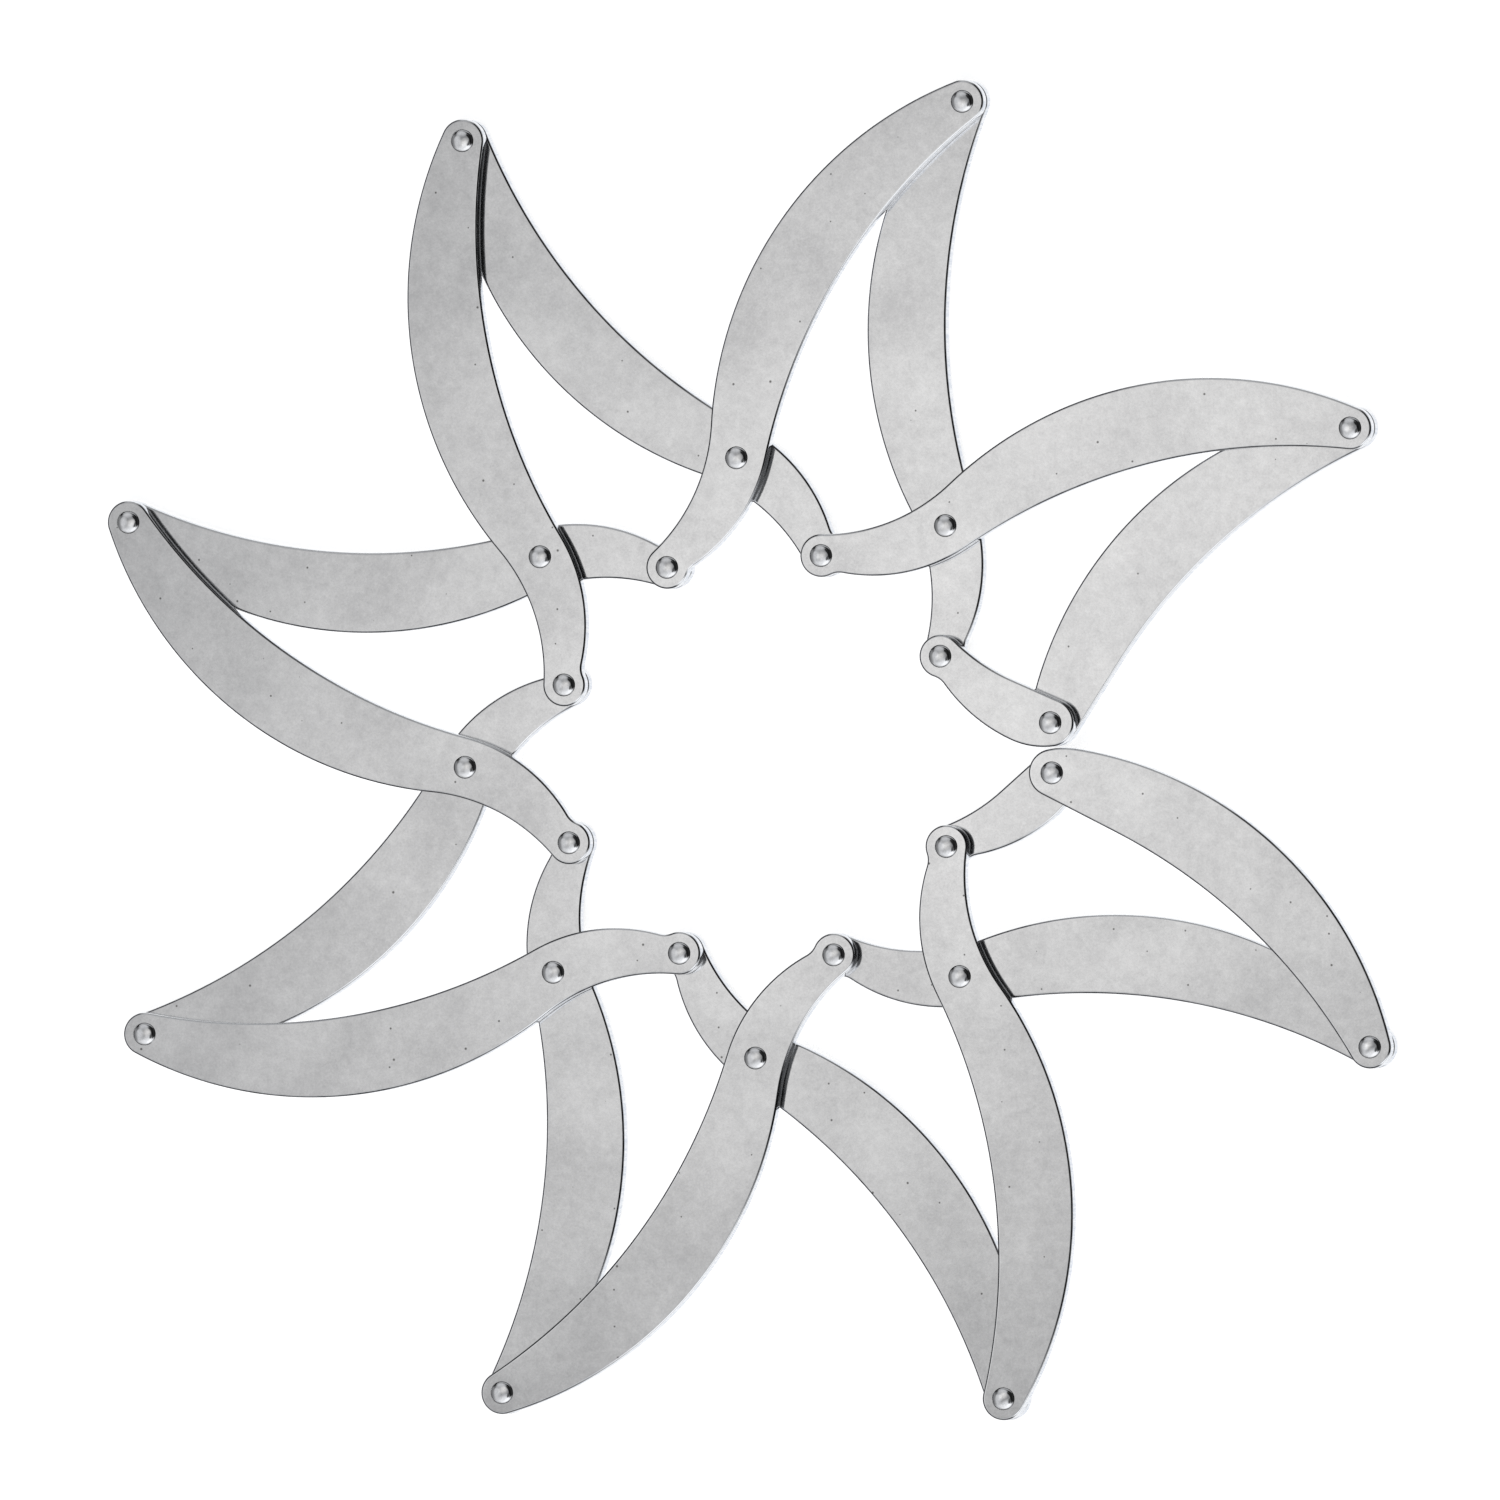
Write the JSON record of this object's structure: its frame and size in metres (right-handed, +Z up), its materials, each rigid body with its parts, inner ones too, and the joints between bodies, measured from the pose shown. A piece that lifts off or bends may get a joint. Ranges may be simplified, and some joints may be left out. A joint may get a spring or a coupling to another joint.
{
  "type": "folding trivet",
  "caption": "Folding metal pot stand: flat S-curved steel bars in two layers, riveted as a scissor ring of petals that is cut at one crossing and folds up into a narrow bundle.",
  "frame": {"origin": "middle of the open ring's box in plan, on the plane that the lower bars rest on", "axes": "+Z up, through the two layers of bars; +X from the middle of the ring to the cut in it; the petals lie in the XY plane"},
  "size_m": [0.1924, 0.199, 0.0058],
  "materials": {
    "bar_steel": "satin",
    "rivet_steel": "polished"
  },
  "bodies": {
    "upper_long_end_bar": {"upper_long_end_bar": "bar_steel"},
    "upper_bar_1": {"upper_bar_1": "bar_steel", "inner_rivet_head_1": "rivet_steel"},
    "upper_bar_2": {"upper_bar_2": "bar_steel", "inner_rivet_head_2": "rivet_steel"},
    "upper_bar_3": {"upper_bar_3": "bar_steel", "inner_rivet_head_3": "rivet_steel"},
    "upper_bar_4": {"upper_bar_4": "bar_steel", "inner_rivet_head_4": "rivet_steel"},
    "upper_bar_5": {"upper_bar_5": "bar_steel", "inner_rivet_head_5": "rivet_steel"},
    "upper_bar_6": {"upper_bar_6": "bar_steel", "inner_rivet_head_6": "rivet_steel"},
    "upper_bar_7": {"upper_bar_7": "bar_steel", "inner_rivet_head_7": "rivet_steel"},
    "upper_short_end_bar": {"upper_short_end_bar": "bar_steel", "inner_rivet_head_8": "rivet_steel"},
    "lower_short_end_bar": {"lower_short_end_bar": "bar_steel", "end_rivet_1": "rivet_steel", "inner_rivet_tail_1": "rivet_steel"},
    "lower_bar_1": {"lower_bar_1": "bar_steel", "tip_rivet_1": "rivet_steel", "crossing_rivet_1": "rivet_steel", "inner_rivet_tail_2": "rivet_steel"},
    "lower_bar_2": {"lower_bar_2": "bar_steel", "tip_rivet_2": "rivet_steel", "crossing_rivet_2": "rivet_steel", "inner_rivet_tail_3": "rivet_steel"},
    "lower_bar_3": {"lower_bar_3": "bar_steel", "tip_rivet_3": "rivet_steel", "crossing_rivet_3": "rivet_steel", "inner_rivet_tail_4": "rivet_steel"},
    "lower_bar_4": {"lower_bar_4": "bar_steel", "tip_rivet_4": "rivet_steel", "crossing_rivet_4": "rivet_steel", "inner_rivet_tail_5": "rivet_steel"},
    "lower_bar_5": {"lower_bar_5": "bar_steel", "tip_rivet_5": "rivet_steel", "crossing_rivet_5": "rivet_steel", "inner_rivet_tail_6": "rivet_steel"},
    "lower_bar_6": {"lower_bar_6": "bar_steel", "tip_rivet_6": "rivet_steel", "crossing_rivet_6": "rivet_steel", "inner_rivet_tail_7": "rivet_steel"},
    "lower_bar_7": {"lower_bar_7": "bar_steel", "tip_rivet_7": "rivet_steel", "crossing_rivet_7": "rivet_steel", "inner_rivet_tail_8": "rivet_steel"},
    "lower_long_end_bar": {"lower_long_end_bar": "bar_steel", "tip_rivet_8": "rivet_steel", "end_rivet_2": "rivet_steel"}
  },
  "joints": [
    {"name": "fold", "type": "hinge", "parent": "lower_bar_4", "child": "upper_bar_4", "pos_m": [-0.04288, 0, 0.0025], "axis": [0, 0, 1], "range_deg": [0, 52]},
    {"name": "crossing_hinge_5", "type": "hinge", "parent": "lower_bar_5", "child": "upper_bar_5", "pos_m": [-0.03046, 0.0309, 0.0025], "axis": [0, 0, 1], "range_deg": [0, 52]},
    {"name": "crossing_hinge_6", "type": "hinge", "parent": "lower_bar_6", "child": "upper_bar_6", "pos_m": [-0.00011, 0.0446, 0.0025], "axis": [0, 0, 1], "range_deg": [0, 52]},
    {"name": "crossing_hinge_7", "type": "hinge", "parent": "lower_bar_7", "child": "upper_bar_7", "pos_m": [0.03128, 0.03348, 0.0025], "axis": [0, 0, 1], "range_deg": [0, 52]},
    {"name": "cut_hinge_2", "type": "hinge", "parent": "lower_long_end_bar", "child": "upper_short_end_bar", "pos_m": [0.04624, 0.00373, 0.0025], "axis": [0, 0, 1], "range_deg": [0, 52]},
    {"name": "tip_hinge_5", "type": "hinge", "parent": "upper_bar_4", "child": "lower_bar_5", "pos_m": [-0.09305, 0.03811, 0.0025], "axis": [0, 0, 1], "range_deg": [-20.2, 0]},
    {"name": "tip_hinge_6", "type": "hinge", "parent": "upper_bar_5", "child": "lower_bar_6", "pos_m": [-0.04028, 0.09313, 0.0025], "axis": [0, 0, 1], "range_deg": [-20.2, 0]},
    {"name": "tip_hinge_7", "type": "hinge", "parent": "upper_bar_6", "child": "lower_bar_7", "pos_m": [0.03588, 0.09631, 0.0025], "axis": [0, 0, 1], "range_deg": [-20.2, 0]},
    {"name": "tip_hinge_8", "type": "hinge", "parent": "upper_bar_7", "child": "lower_long_end_bar", "pos_m": [0.09305, 0.04589, 0.0025], "axis": [0, 0, 1], "range_deg": [-20.2, 0]},
    {"name": "tip_hinge_4", "type": "hinge", "parent": "lower_bar_4", "child": "upper_bar_3", "pos_m": [-0.09305, -0.03811, 0.0025], "axis": [0, 0, 1], "range_deg": [0, 20.2]},
    {"name": "tip_hinge_3", "type": "hinge", "parent": "lower_bar_3", "child": "upper_bar_2", "pos_m": [-0.04028, -0.09313, 0.0025], "axis": [0, 0, 1], "range_deg": [0, 20.2]},
    {"name": "tip_hinge_2", "type": "hinge", "parent": "lower_bar_2", "child": "upper_bar_1", "pos_m": [0.03588, -0.09631, 0.0025], "axis": [0, 0, 1], "range_deg": [0, 20.2]},
    {"name": "tip_hinge_1", "type": "hinge", "parent": "lower_bar_1", "child": "upper_long_end_bar", "pos_m": [0.09305, -0.04589, 0.0025], "axis": [0, 0, 1], "range_deg": [0, 20.2]},
    {"name": "crossing_hinge_3", "type": "hinge", "parent": "upper_bar_3", "child": "lower_bar_3", "pos_m": [-0.03046, -0.0309, 0.0025], "axis": [0, 0, 1], "range_deg": [-52, 0]},
    {"name": "crossing_hinge_2", "type": "hinge", "parent": "upper_bar_2", "child": "lower_bar_2", "pos_m": [-0.00011, -0.0446, 0.0025], "axis": [0, 0, 1], "range_deg": [-52, 0]},
    {"name": "crossing_hinge_1", "type": "hinge", "parent": "upper_bar_1", "child": "lower_bar_1", "pos_m": [0.03128, -0.03348, 0.0025], "axis": [0, 0, 1], "range_deg": [-52, 0]},
    {"name": "cut_hinge_1", "type": "hinge", "parent": "upper_long_end_bar", "child": "lower_short_end_bar", "pos_m": [0.04624, -0.00373, 0.0025], "axis": [0, 0, 1], "range_deg": [-52, 0]}
  ],
  "couplings": [
    {"joint": "crossing_hinge_5", "follows": "fold", "ratio": 1},
    {"joint": "crossing_hinge_6", "follows": "fold", "ratio": 1},
    {"joint": "crossing_hinge_7", "follows": "fold", "ratio": 1},
    {"joint": "cut_hinge_2", "follows": "fold", "ratio": 1},
    {"joint": "tip_hinge_5", "follows": "fold", "ratio": -0.38825},
    {"joint": "tip_hinge_6", "follows": "fold", "ratio": -0.38825},
    {"joint": "tip_hinge_7", "follows": "fold", "ratio": -0.38825},
    {"joint": "tip_hinge_8", "follows": "fold", "ratio": -0.38825},
    {"joint": "tip_hinge_4", "follows": "fold", "ratio": 0.38825},
    {"joint": "tip_hinge_3", "follows": "fold", "ratio": 0.38825},
    {"joint": "tip_hinge_2", "follows": "fold", "ratio": 0.38825},
    {"joint": "tip_hinge_1", "follows": "fold", "ratio": 0.38825},
    {"joint": "crossing_hinge_3", "follows": "fold", "ratio": -1},
    {"joint": "crossing_hinge_2", "follows": "fold", "ratio": -1},
    {"joint": "crossing_hinge_1", "follows": "fold", "ratio": -1},
    {"joint": "cut_hinge_1", "follows": "fold", "ratio": -1}
  ]
}
